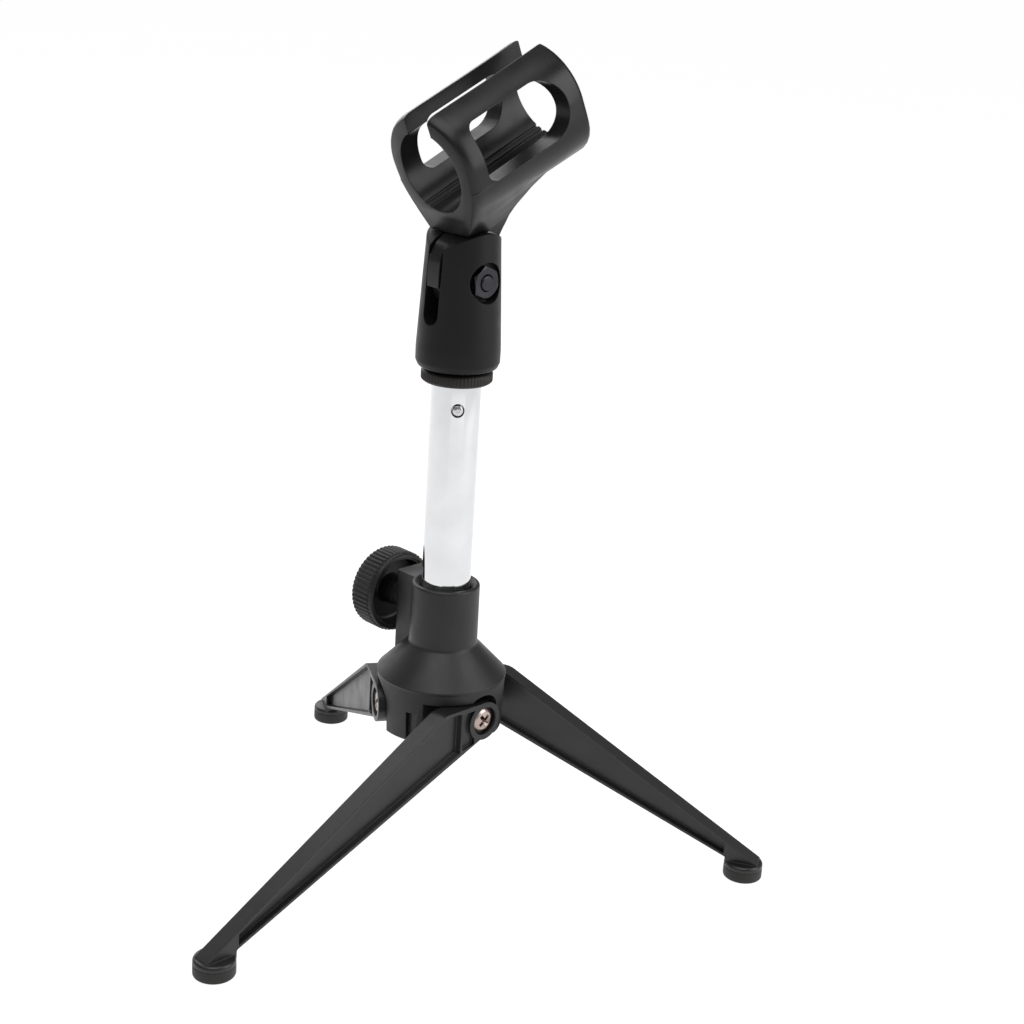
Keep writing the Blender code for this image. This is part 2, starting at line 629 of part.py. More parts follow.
def make_clip(tilt, black):
    """The barrel, its neck and its tongue. Here +Y runs along the barrel and +Z is square to it."""
    back = BARREL_FRONT + BARREL_LENGTH
    axis = BARREL_AXIS
    front = Matrix(((1, 0, 0, 0), (0, 0, 1, 0), (0, 1, 0, 0), (0, 0, 0, 1)))
    clip = add_object("mic_clip", prism(barrel_section(), BARREL_FRONT, back), tilt, black, front)

    right = [(15.8, 27.0), (14.4, 24.2), (12.6, 21.0), (9.2, 15.5), (7.8, 12.0), (7.6, 4.0)]
    neck = [(x * MM, z * MM) for x, z in right] + [(-x * MM, z * MM) for x, z in reversed(right)]
    side = [
        (BARREL_FRONT + 0.1 * MM, 10.0 * MM),
        (12.7 * MM, 8.8 * MM),
        (17.1 * MM, 12.2 * MM),
        (26.0 * MM, 17.5 * MM),
        (28.0 * MM, 20.5 * MM),
        (28.0 * MM, 26.5 * MM),
        (BARREL_FRONT + 0.1 * MM, 26.5 * MM),
    ]
    neck_body = add_object("add_neck", prism(neck, -MM, 29.0 * MM), tilt, None, front)
    profile = add_object("keep_neck_profile", prism(side, -20 * MM, 20 * MM), tilt, None, SIDE_PLANE)
    boolean(neck_body, profile, "INTERSECT")
    clear = [(0.0, -20 * MM), (NECK_CLEAR_R, -20 * MM), (NECK_CLEAR_R, 20 * MM), (0.0, 20 * MM)]
    cut(neck_body, add_object("cut_neck_underside", turned(clear, FINE), tilt, None, ALONG_X))
    join(clip, neck_body)
    half = TONGUE / 2
    nose = [(-3.5, 13.9), (-7.2, 11.6), (-10.0, 8.0)]  # fills the mouth of the base's slot
    blade = arc((0.0, 0.0), TONGUE_R, 145.0, 378.0, 30)
    blade += [(12.8 * MM, 9.5 * MM), (12.8 * MM, 24.0 * MM), (BARREL_FRONT + 0.6 * MM, 24.0 * MM)]
    blade += [(BARREL_FRONT + 0.6 * MM, 15.0 * MM)] + [(y * MM, z * MM) for y, z in nose]
    join(clip, add_object("add_tongue", prism(blade, -half, half), tilt, None, SIDE_PLANE))

    middle = (BORE_FLOOR + BORE_TOP) / 2
    upright = Matrix.Diagonal((1.0, 1.0, (BORE_TOP - BORE_FLOOR) / 2 / BORE_HALF, 1.0))
    along = Matrix.Translation((0.0, 0.0, middle)) @ upright @ Matrix.Rotation(radians(-90), 4, "X")
    far = back + MM
    bore = [(0.0, -MM), (BORE_HALF, -MM), (BORE_HALF - BORE_TAPER, far), (0.0, far)]
    cut(clip, add_object("cut_barrel_bore", turned(bore, FINE, 1.7), tilt, None, along))
    gap = BARREL_SLOT / 2
    low = (-gap, -MM, axis)
    high = (gap, far, axis + BARREL_R + 2 * MM)
    cut(clip, add_object("cut_barrel_slot", box(low, high), tilt))
    start, end = WINDOW_START, WINDOW_END
    low, high = 30.5 * MM, 49.5 * MM
    corners = [(start, low), (end, low), (end, high), (start, high)]
    window = rounded(corners, [3.0 * MM, 8.5 * MM, 9.5 * MM, 3.0 * MM], 5)
    cut(clip, add_object("cut_windows", prism(window, -30 * MM, 30 * MM), tilt, None, SIDE_PLANE))
    hole = [(0.0, -9 * MM), (BOLT_R + GAP, -9 * MM), (BOLT_R + GAP, 9 * MM), (0.0, 9 * MM)]
    cut(clip, add_object("cut_tongue_hole", turned(hole, SMALL), tilt, None, ALONG_X))


# ---------------------------------------------------------------- assembly


def main():
    for old in list(bpy.data.objects):
        bpy.data.objects.remove(old, do_unlink=True)
    black = material("black_nylon", (0.035, 0.034, 0.036), 0.42)
    rubber = material("rubber", (0.05, 0.048, 0.046), 0.7)
    chrome = material("chrome", (0.82, 0.82, 0.84), 0.06, 1.0)
    nickel = material("nickel_screw", (0.72, 0.6, 0.55), 0.3, 1.0)
    steel = material("black_steel", (0.06, 0.06, 0.065), 0.35, 1.0)
    zinc = material("zinc_steel", (0.6, 0.6, 0.62), 0.25, 1.0)
    brass = material("brass", (0.7, 0.5, 0.2), 0.3, 1.0)
    dark = material("dark_nylon", (0.03, 0.024, 0.022), 0.5)

    root = add_empty("stand_axis", (COLUMN_X, COLUMN_Y, 0.0))
    make_hub(root, black)
    for index in range(3):
        angle = radians(120 * index)
        place = (LEG_OFFSET * cos(angle), LEG_OFFSET * sin(angle), PIVOT_Z)
        pivot = add_empty(f"leg_pivot_{index + 1}", place, (0.0, 0.0, angle), root)
        make_leg(index + 1, pivot, black, rubber, nickel)
    turning = add_empty("knob_axis", (0.0, 0.0, KNOB_Z), (0.0, 0.0, 0.0), root)
    make_clamp(root, turning, black, zinc, brass)
    column = add_empty("column_axis", (0.0, 0.0, 0.0), (0.0, 0.0, 0.0), root)
    make_column(column, chrome, black, zinc)
    head = add_empty("swivel_axis", (0.0, 0.0, 0.0), (0.0, 0.0, 0.0), column)
    make_clip_base(head, black, dark, steel)
    tilt = add_empty("tilt_axis", (0.0, 0.0, TILT_Z), (radians(BARREL_TILT), 0.0, 0.0), head)
    make_clip(tilt, black)
    bpy.context.view_layer.update()


main()
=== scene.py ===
"""Looks for the folding desktop microphone stand: satin black mouldings, a chromed column and
plated screws, on a white table under soft light. Lengths are in millimetres until a piece is made.
"""

import json
from math import atan2, cos, degrees, pi, radians, sin, sqrt, tan

import bmesh
import bpy
from mathutils import Matrix, Vector

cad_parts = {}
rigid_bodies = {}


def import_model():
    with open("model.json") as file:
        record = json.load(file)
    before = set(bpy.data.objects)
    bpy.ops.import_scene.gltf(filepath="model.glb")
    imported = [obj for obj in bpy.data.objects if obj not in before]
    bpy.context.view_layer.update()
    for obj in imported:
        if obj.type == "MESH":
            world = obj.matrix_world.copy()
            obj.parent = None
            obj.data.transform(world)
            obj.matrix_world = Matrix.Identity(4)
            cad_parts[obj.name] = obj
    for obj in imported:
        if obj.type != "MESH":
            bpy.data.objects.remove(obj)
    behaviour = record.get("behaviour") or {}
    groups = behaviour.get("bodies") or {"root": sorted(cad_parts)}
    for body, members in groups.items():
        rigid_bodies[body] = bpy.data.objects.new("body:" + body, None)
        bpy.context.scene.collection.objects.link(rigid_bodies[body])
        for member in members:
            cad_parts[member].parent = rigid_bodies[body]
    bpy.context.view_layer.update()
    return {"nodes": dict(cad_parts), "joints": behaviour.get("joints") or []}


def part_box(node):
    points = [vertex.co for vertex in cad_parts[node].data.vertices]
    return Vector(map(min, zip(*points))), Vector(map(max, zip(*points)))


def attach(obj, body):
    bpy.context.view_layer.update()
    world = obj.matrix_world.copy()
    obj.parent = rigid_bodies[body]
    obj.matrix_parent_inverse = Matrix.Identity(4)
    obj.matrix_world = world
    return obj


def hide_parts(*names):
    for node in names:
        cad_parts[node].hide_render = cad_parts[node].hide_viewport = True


MM = 0.001

# Camera, as the middle of the column sees it
CAMERA_TURN = 46.7  # degrees from the row's -Y round to the camera's side
CAMERA_BACK = 563.7
CAMERA_HEIGHT = 309.7
CAMERA_YAW, CAMERA_PITCH, CAMERA_ROLL = 2.043, 18.458, -3.631
CAMERA_LENS = 64.67

# Legs
EYE_R = 6.5
LEG_HALF = 3.1
LEG_REACH = 104.4
TOP_START, TOP_SLOPE = 71.5, 0.597
BELLY_START, BELLY_SLOPE = 48.85, 0.424
FLANGE = 1.5
WEB_HALF = 1.1
WEB_NEAR = 10.9
WEB_FAR = LEG_REACH - 6.6
FOOT_R = 6.55
FOOT_PLATE_LOW, FOOT_PLATE_TOP = 3.95, 5.95
SCREW_SEAT = 1.0  # from the leg's middle plane to the floor of the screw head's recess

# Hub
COLLAR_R = 11.2
COLLAR_TOP = 96.5
SKIRT_TOP_R = 21.5
SKIRT_TOP = 65.3
SKIRT_LOW_R = 20.6
SKIRT_LOW = 47.0
SKIRT_INNER_R = 18.4
CORE_R = 12.4
BORE_R = 8.3
STOP_BORE_R = 9.3  # wider, so that the stop on the tube's end can rise inside
POCKET_WALL = 11.2  # from the column's axis to the wall behind a leg
RELIEF_NEAR, RELIEF_DEEP, RELIEF_TOP = 5.7, 18.7, 2.8
BLOCK_REACH = 17.9
BLOCK_HALF = 5.7
KNOB_RIBS = 54
KNOB_THICK = 10.2

# Clip base and clip
RING_RIBS = 62
DOME_R = 15.0
SLOT_LOW = 183.4
SLOT_HALF = 3.2
TONGUE_HALF = 2.5
BOLT_R = 2.45
BOLT_HOLE_R = 2.75
RECESS_X = 9.0
BARREL_TILT = 25.0
BARREL_AXIS = 37.2
BARREL_FRONT, BARREL_BACK = 0.3, 50.9
BARREL_R = 17.6
BORE_FRONT = (12.5, 22.6, 49.5)  # half width, floor and top of the oval bore
BORE_BACK = (11.8, 22.9, 49.0)
LIP_HALF = 5.0
# Distance from the barrel's front, with the outline's scale there
FRONT_ROUND = ((0.0, 0.915), (0.2, 0.94), (0.7, 0.963), (1.5, 0.982), (2.6, 0.994), (4.2, 0.999))


# ---------------------------------------------------------------- mesh tools


def arc(centre, radius, start, end, steps):
    """Points on an arc, angles in degrees, both ends included."""
    angles = [radians(start + (end - start) * i / steps) for i in range(steps + 1)]
    return [(centre[0] + radius * cos(a), centre[1] + radius * sin(a)) for a in angles]


def rounded(corners, steps=5):
    """A polygon of (x, y, radius) corners, each turned into an arc of its own radius."""
    outline = []
    count = len(corners)
    for i, (x, y, radius) in enumerate(corners):
        here = Vector((x, y))
        back = (Vector(corners[i - 1][:2]) - here).normalized()
        ahead = (Vector(corners[(i + 1) % count][:2]) - here).normalized()
        half = back.angle(ahead) / 2
        if radius <= 0 or half > radians(89):
            outline.append((x, y))
            continue
        centre = here + (back + ahead).normalized() * (radius / sin(half))
        first = here + back * (radius / tan(half)) - centre
        turn = first.angle_signed(here + ahead * (radius / tan(half)) - centre)
        for k in range(steps + 1):
            spot = centre + Matrix.Rotation(-turn * k / steps, 2) @ first
            outline.append((spot.x, spot.y))
    return outline


def turned(profile, sides, start=0.0):
    """A closed outline of (radius, height) points turned about Z."""
    bm = bmesh.new()
    turns = [radians(start) + 2 * pi * i / sides for i in range(sides)]
    rings = []
    for radius, height in profile:
        on_axis = radius < 1e-6
        spots = [(radius * cos(t), radius * sin(t), height) for t in turns if not on_axis]
        rings.append([bm.verts.new(spot) for spot in spots])
    for k, low in enumerate(rings):
        after = (k + 1) % len(rings)
        high = rings[after]
        if low and high:
            for i in range(sides):
                j = (i + 1) % sides
                bm.faces.new((low[i], low[j], high[j], high[i]))
        elif low or high:
            edge = low or high
            if abs(profile[k][1] - profile[after][1]) < 1e-6:
                bm.faces.new(edge)
                continue
            tip = bm.verts.new((0.0, 0.0, profile[after][1] if low else profile[k][1]))
            for i in range(sides):
                bm.faces.new((edge[i], edge[(i + 1) % sides], tip))
    return faced(bm)


def loft(levels):
    """Joins outlines of equal length, each given as (height, outline), and closes both ends."""
    bm = bmesh.new()
    rings = [[bm.verts.new((x, y, height)) for x, y in outline] for height, outline in levels]
    bm.faces.new(rings[0][::-1])
    bm.faces.new(rings[-1])
    count = len(rings[0])
    for low, high in zip(rings, rings[1:]):
        for i in range(count):
            j = (i + 1) % count
            bm.faces.new((low[i], low[j], high[j], high[i]))
    return faced(bm)


def prism(outline, low, high):
    return loft([(low, outline), (high, outline)])


def box(low, high):
    outline = [(low[0], low[1]), (high[0], low[1]), (high[0], high[1]), (low[0], high[1])]
    return prism(outline, low[2], high[2])


def faced(bm):
    """Turns every face outwards."""
    bm.normal_update()
    bmesh.ops.recalc_face_normals(bm, faces=bm.faces)
    if bm.calc_volume(signed=True) < 0:
        bmesh.ops.reverse_faces(bm, faces=bm.faces)
    return bm


def moved(bm, matrix):
    bm.transform(matrix)
    return faced(bm)


def temporary(bm):
    mesh = bpy.data.meshes.new("working")
    bm.to_mesh(mesh)
    bm.free()
    made = bpy.data.objects.new("working", mesh)
    bpy.context.scene.collection.objects.link(made)
    return made


def combined(base, *steps):
    """A solid after each (operation, solid) step: DIFFERENCE cuts, UNION joins, INTERSECT keeps."""
    body = temporary(base)
    tools = []
    for operation, solid in steps:
        tool = temporary(solid)
        modifier = body.modifiers.new("step", "BOOLEAN")
        modifier.operation = operation
        modifier.solver = "EXACT"
        modifier.object = tool
        tools.append(tool)
    bpy.context.view_layer.update()
    made = bpy.data.meshes.new_from_object(body.evaluated_get(bpy.context.evaluated_depsgraph_get()))
    bm = bmesh.new()
    bm.from_mesh(made)
    bpy.data.meshes.remove(made)
    for done in [body, *tools]:
        mesh = done.data
        bpy.data.objects.remove(done)
        bpy.data.meshes.remove(mesh)
    return bm


def move(x, y, z):
    return Matrix.Translation((x, y, z))


def turn(angle, axis="Z"):
    return Matrix.Rotation(radians(angle), 4, axis)


TO_METRES = Matrix.Scale(MM, 4)
ALONG_X = turn(90, "Y")
AGAINST_X = turn(-90, "Y")
# An outline's x runs along -Y and its y along +Z; its thickness runs along +X.
LEG_PLANE = Matrix(((0, 0, 1, 0), (-1, 0, 0, 0), (0, 1, 0, 0), (0, 0, 0, 1)))
# An outline's x runs along +Y and its y along +Z; its thickness runs along +X.
SIDE_PLANE = Matrix(((0, 0, 1, 0), (1, 0, 0, 0), (0, 1, 0, 0), (0, 0, 0, 1)))
# An outline's x runs along +X and its y along +Z; its thickness runs along +Y.
FRONT_PLANE = Matrix(((1, 0, 0, 0), (0, 0, 1, 0), (0, 1, 0, 0), (0, 0, 0, 1)))


def piece(name, bm, place, finish, slot, body, *nodes):
    """Puts a solid in place as one shown piece that rides on a body and stands for CAD nodes."""
    bm.transform(TO_METRES @ place)
    faced(bm)
    mesh = bpy.data.meshes.new(name)
    bm.to_mesh(mesh)
    bm.free()
    mesh.shade_smooth()
    mesh.set_sharp_from_angle(angle=radians(28))
    mesh.materials.append(finish)
    made = bpy.data.objects.new(name, mesh)
    bpy.context.scene.collection.objects.link(made)
    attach(made, body)
    if nodes:
        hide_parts(*nodes)
    return made


# ---------------------------------------------------------------- materials


def new_material(name):
    made = bpy.data.materials.new(name)
    made.use_nodes = True
    tree = made.node_tree
    return made, tree, tree.nodes["Principled BSDF"]


def add_noise(tree, scale, detail=2.0, stretch=None):
    """Noise over the piece's own coordinates, in features per metre."""
    place = tree.nodes.new("ShaderNodeTexCoord").outputs["Object"]
    if stretch:
        mapping = tree.nodes.new("ShaderNodeMapping")
        mapping.inputs["Scale"].default_value = stretch
        tree.links.new(place, mapping.inputs["Vector"])
        place = mapping.outputs["Vector"]
    noise = tree.nodes.new("ShaderNodeTexNoise")
    noise.inputs["Scale"].default_value = scale
    noise.inputs["Detail"].default_value = detail
    tree.links.new(place, noise.inputs["Vector"])
    return noise.outputs["Fac"]


def add_range(tree, value, low, high, spread=(0.3, 0.7)):
    node = tree.nodes.new("ShaderNodeMapRange")
    node.inputs["From Min"].default_value = spread[0]
    node.inputs["From Max"].default_value = spread[1]
    node.inputs["To Min"].default_value = low
    node.inputs["To Max"].default_value = high
    tree.links.new(value, node.inputs["Value"])
    return node.outputs["Result"]


def add_mix(tree, value, first, second):
    node = tree.nodes.new("ShaderNodeMix")
    node.data_type = "RGBA"
    node.inputs["A"].default_value = (*first, 1.0)
    node.inputs["B"].default_value = (*second, 1.0)
    tree.links.new(value, node.inputs["Factor"])
    return node.outputs["Result"]


def soften_edges(tree, shader, radius, height=None, depth=0.0):
    """Rounds the shading over sharp edges, with an optional fine relief on top."""
    bevel = tree.nodes.new("ShaderNodeBevel")
    bevel.samples = 6
    bevel.inputs["Radius"].default_value = radius * MM
    normal = bevel.outputs["Normal"]
    if height is not None:
        bump = tree.nodes.new("ShaderNodeBump")
        bump.inputs["Distance"].default_value = depth * MM
        bump.inputs["Strength"].default_value = 1.0
        tree.links.new(height, bump.inputs["Height"])
        tree.links.new(normal, bump.inputs["Normal"])
        normal = bump.outputs["Normal"]
    tree.links.new(normal, shader.inputs["Normal"])


def moulded(name, dark, light, rough, grain=0.012, edge=0.4, specular=0.35):
    """Satin moulded plastic: cloudy flow colour, patchy gloss and a fine spark-eroded grain."""
    made, tree, shader = new_material(name)
    cloud = add_range(tree, add_noise(tree, 45.0, 3.0), 0.0, 1.0)
    tree.links.new(add_mix(tree, cloud, dark, light), shader.inputs["Base Color"])
    patch = add_noise(tree, 140.0, 2.0)
    tree.links.new(add_range(tree, patch, rough - 0.04, rough + 0.05), shader.inputs["Roughness"])
    shader.inputs["Specular IOR Level"].default_value = specular
    soften_edges(tree, shader, edge, add_noise(tree, 2600.0, 1.0), grain)
    return made


def plated(name, dark, light, rough, edge=0.15, brushed=None):
    """Metal plating with a slight tone shift and fine variation in its polish."""
    made, tree, shader = new_material(name)
    tone = add_range(tree, add_noise(tree, 90.0, 2.0), 0.0, 1.0)
    tree.links.new(add_mix(tree, tone, dark, light), shader.inputs["Base Color"])
    shader.inputs["Metallic"].default_value = 1.0
    polish = add_noise(tree, 400.0, 2.0, brushed)
    tree.links.new(add_range(tree, polish, rough * 0.8, rough * 1.3), shader.inputs["Roughness"])
    soften_edges(tree, shader, edge)
    return made


def paper_white(name):
    """The table: pale, softly glowing, with a very slight change of tone."""
    made, tree, shader = new_material(name)
    tone = add_noise(tree, 3.0, 2.0)
    tree.links.new(add_mix(tree, tone, (0.19, 0.19, 0.19), (0.21, 0.21, 0.21)), shader.inputs["Base Color"])
    shader.inputs["Roughness"].default_value = 0.9
    shader.inputs["Specular IOR Level"].default_value = 0.0
    shader.inputs["Emission Color"].default_value = (1.0, 1.0, 1.0, 1.0)
    shader.inputs["Emission Strength"].default_value = 0.94
    return made


# ---------------------------------------------------------------- legs


def leg_top(reach):
    return min(EYE_R, TOP_START - PIVOT_Z - TOP_SLOPE * reach)


def leg_belly(reach):
    return BELLY_START - PIVOT_Z - BELLY_SLOPE * reach


def leg_outline():
    """The leg from the side, its pivot at the origin and its foot towards +x."""
    knee = (TOP_START - PIVOT_Z - EYE_R) / TOP_SLOPE
    tip = LEG_REACH + 0.78 * FOOT_R
    heel = LEG_REACH - 0.9 * FOOT_R
    plate = 4.6 - PIVOT_Z
    drop = BELLY_START - PIVOT_Z
    spread = 1 + BELLY_SLOPE**2
    meet = (sqrt(spread * EYE_R**2 - drop**2) + drop * BELLY_SLOPE) / spread
    last = degrees(atan2(leg_belly(meet), meet)) + 360.0
    eye = arc((0.0, 0.0), EYE_R, 90.0, last, 40)
    edge = [(*eye[-1], 0), (heel, leg_belly(heel), 1.0), (heel, plate, 0), (tip, plate, 0)]
    edge += [(tip, leg_top(tip), 0.5), (knee, EYE_R, 7.0), (*eye[0], 0)]
    return eye[1:-1] + rounded(edge, 8)


def web_outline(grow):
    """The hollow between the flanges; grow widens it towards the leg's face."""
    near = WEB_NEAR - grow
    far = WEB_FAR
    knee = (TOP_START - PIVOT_Z - EYE_R) / TOP_SLOPE
    rim = FLANGE - grow
    corners = [
        (near, EYE_R - rim, 0.8),
        (near, leg_belly(near) + rim * 1.15, 1.2),
        (far, leg_belly(far) + rim * 0.8, 0.3),
        (far, leg_top(far) - rim * 0.8, 0.3),
        (knee - 0.3 * rim, EYE_R - rim, 5.0),
    ]
    return rounded(corners, 6)


def eye_trench(grow):
    """The crescent between the screw's boss and the web."""
    outer = 9.7 + grow
    low = leg_belly(outer) + FLANGE
    top = EYE_R - FLANGE
    return rounded([(4.4, top, 0.2), (4.4, -7.0, 0.2), (outer, low, 1.2), (outer, top, 0.8)], 6)


def make_leg(index, joint):
    """One leg with its foot cap and the screw it turns on."""
    body = f"leg_{index}"
    pivot = Vector(joint["pos_m"]) / MM
    angle = degrees(atan2(joint["axis"][1], joint["axis"][0]))
    place = move(*pivot) @ turn(angle)
    steps = []
    over = LEG_HALF + 0.3
    boss_r = EYE_R + 0.15
    for side in (1, -1):
        web = loft([(side * WEB_HALF, web_outline(0.0)), (side * over, web_outline(0.55))])
        steps.append(("DIFFERENCE", moved(web, LEG_PLANE)))
        trench = loft([(side * 1.9, eye_trench(0.0)), (side * over, eye_trench(0.2))])
        boss = turned([(0, -9), (boss_r, -9), (boss_r, 9), (0, 9)], 64, 1.0)
        trench = combined(moved(trench, LEG_PLANE), ("DIFFERENCE", moved(boss, ALONG_X)))
        steps.append(("DIFFERENCE", trench))
    foot = [(0, 2.6, 0), (5.2, 2.6, 0), (5.2, FOOT_PLATE_LOW, 0), (FOOT_R, FOOT_PLATE_LOW, 0.1)]
    foot += [(FOOT_R - 0.05, FOOT_PLATE_TOP - 0.2, 1.0), (0, FOOT_PLATE_TOP, 0)]
    foot_place = move(0, -LEG_REACH, -PIVOT_Z)
    steps.append(("UNION", moved(turned(rounded(foot, 6), 96, 0.7), foot_place)))
    seat = [(0, -9, 0), (2.2, -9, 0), (2.2, SCREW_SEAT, 0), (4.75, SCREW_SEAT, 0.2), (4.9, 9, 0), (0, 9, 0)]
    steps.append(("DIFFERENCE", moved(turned(rounded(seat, 4), 64, 0.4), ALONG_X)))
    leg = combined(moved(prism(leg_outline(), -LEG_HALF, LEG_HALF), LEG_PLANE), *steps)
    piece(f"leg_{index}_moulding", leg, place, NYLON, "black_nylon", body, f"leg_{index}")

    top = FOOT_PLATE_LOW - 0.05
    pad = [(0, 0, 0), (FOOT_R, 0, 0.7), (FOOT_R, top, 0.12), (2.9, top, 0), (2.9, 1.4, 0), (0, 1.4, 0)]
    pad = moved(turned(rounded(pad, 5), 96), foot_place)
    piece(f"foot_{index}_cap", pad, place, RUBBER, "rubber", body, f"foot_pad_{index}")

    under = SCREW_SEAT + 0.3
    head = [(0, -8.6, 0), (1.3, -8.6, 0), (1.75, -8.0, 0.2), (1.75, under, 0), (4.1, under, 0.15)]
    head += [(4.15, under + 0.5, 0.3), (3.0, under + 1.3, 1.6), (0, under + 1.55, 0)]
    screw = turned(rounded(head, 6), 72)
    cross = [("DIFFERENCE", cross_bit(angle_of_cross)) for angle_of_cross in (38, 128)]
    screw = combined(moved(screw, ALONG_X), *cross)
    name = f"leg_screw_{index}"
    piece(f"{name}_head", screw, place, PINK_NICKEL, "nickel_screw", "hub", name)


def cross_bit(angle):
    """One wing of a cross-head driver's tip, narrower as it goes in."""
    wing = loft([(0.3, wing_outline(1.0, 0.4)), (3.4, wing_outline(2.8, 0.72))])
    return moved(moved(wing, turn(angle)), ALONG_X)


def wing_outline(reach, half):
    return [(-reach, -half), (reach, -half), (reach, half), (-reach, half)]


# ---------------------------------------------------------------- hub and clamp


def make_hub(legs):
    """Collar, cone and skirt, with a pocket for each leg and the clamp's block."""
    shell = [
        (BORE_R, 71.5, 0),
        (BORE_R, 94.9, 0.3),
        (9.7, 96.35, 0.5),
        (COLLAR_R - 0.05, COLLAR_TOP, 0.9),
        (COLLAR_R + 0.1, 75.9, 1.8),
        (SKIRT_TOP_R, SKIRT_TOP + 0.15, 0.35),
        (SKIRT_TOP_R - 0.3, SKIRT_TOP - 0.75, 0.5),
        (SKIRT_LOW_R, SKIRT_LOW, 0.5),
        (SKIRT_INNER_R, SKIRT_LOW, 0.3),
        (SKIRT_INNER_R - 0.5, SKIRT_LOW + 2.0, 0.5),
        (CORE_R + 0.5, SKIRT_LOW + 2.0, 0.5),
        (CORE_R, SKIRT_LOW + 1.0, 0.4),
        (STOP_BORE_R, SKIRT_LOW + 1.0, 0.2),
        (STOP_BORE_R, 71.0, 0),
    ]
    steps = []
    low = SKIRT_LOW - PIVOT_Z - 1
    stop = EYE_R + 0.35
    arch = [p for p in arc((0.0, 1.4), 7.3, 180.0, 60.0, 24) if p[0] < 4.0]
    opening = [(-7.3, low), *arch, (4.6, stop), (24.0, stop), (24.0, low)]
    outer = 23.0
    relief = [(RELIEF_DEEP, low), (outer, low), (outer, RELIEF_TOP), (RELIEF_DEEP, RELIEF_TOP)]
    for joint in legs:
        angle = degrees(atan2(joint["axis"][1], joint["axis"][0]))
        place = turn(angle) @ move(0, 0, PIVOT_Z)
        steps.append(("DIFFERENCE", moved(prism(opening, POCKET_WALL, 30.0), place @ LEG_PLANE)))
        steps.append(("DIFFERENCE", moved(prism(relief, RELIEF_NEAR, 14.0), place @ LEG_PLANE)))
        pad = turned([(0, 10.5), (6.4, 10.5), (6.4, 15.5), (0, 15.5)], 48, 2.0)
        steps.append(("UNION", moved(pad, place @ ALONG_X)))
    block = [
        (-BLOCK_REACH, -BLOCK_HALF, 0.9),
        (-9.0, -BLOCK_HALF, 0),
        (-9.0, BLOCK_HALF, 0),
        (-BLOCK_REACH, BLOCK_HALF, 0.9),
    ]
    steps.append(("UNION", prism(rounded(block), 65.0, COLLAR_TOP - 0.15)))
    bolt_way = turned([(0, 5), (2.9, 5), (2.9, 20), (0, 20)], 48)
    steps.append(("DIFFERENCE", moved(bolt_way, move(0, 0, KNOB_Z) @ AGAINST_X)))
    hub = combined(turned(rounded(shell, 7), 144, 0.6), *steps)
    piece("hub_moulding", hub, COLUMN, WARM_NYLON, "black_nylon", "hub", "hub_body")


def make_knob():
    """The thumb knob: finely ribbed round, hollow towards the clamp, slightly dished outside."""
    low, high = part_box("clamp_knob")
    outer_r = (high.z - low.z) / 2 / MM
    length = KNOB_THICK
    valley = outer_r - 0.5
    ridge = 2 * pi / KNOB_RIBS
    sides = KNOB_RIBS * 6
    wave = [1.0, 0.9, 0.35, 0.0, 0.35, 0.9]
    levels = [(0.0, valley - 0.9, 0.0), (0.35, valley - 0.3, 0.0), (0.9, valley, 0.0), (1.6, valley, 0.0)]
    levels += [(1.9, valley, 1.0), (length - 0.9, valley, 1.0), (length - 0.5, valley, 0.5)]
    levels += [(length - 0.15, valley - 0.35, 0.0), (length, valley - 0.9, 0.0)]
    rings = []
    for height, radius, ribbed in levels:
        ring = []
        for i in range(sides):
            r = radius + ribbed * wave[i % 6] * (outer_r - valley)
            ring.append((r * cos(ridge * i / 6), r * sin(ridge * i / 6)))
        rings.append((height, ring))
    rim = loft(rings)
    lip = [(11.3, 0.9, 0.5), (11.3, 1.5, 0), (12.1, 1.6, 0.2), (11.4, 6.8, 1.2), (4.8, 6.8, 0.8)]
    hollow = turned(rounded([(4.6, -1, 0), (12.4, -1, 0), (12.1, 0.8, 0.4), *lip], 5), 96)
    boss = turned(rounded([(0, -3.2, 0), (4.2, -3.2, 0.4), (4.95, 3, 0), (0, 3, 0)], 4), 72, 1.0)
    floor, over = length - 0.5, length + 1
    dish = turned(rounded([(0, floor, 0), (9.6, floor, 0.3), (10.2, over, 0), (0, over, 0)]), 96)
    knob = combined(rim, ("DIFFERENCE", hollow), ("UNION", boss), ("DIFFERENCE", dish))
    place = COLUMN @ move(KNOB_FACE, 0, KNOB_Z) @ AGAINST_X
    piece("clamp_knob_moulding", knob, place, KNOB_NYLON, "black_nylon", "knob", "clamp_knob")


# ---------------------------------------------------------------- column


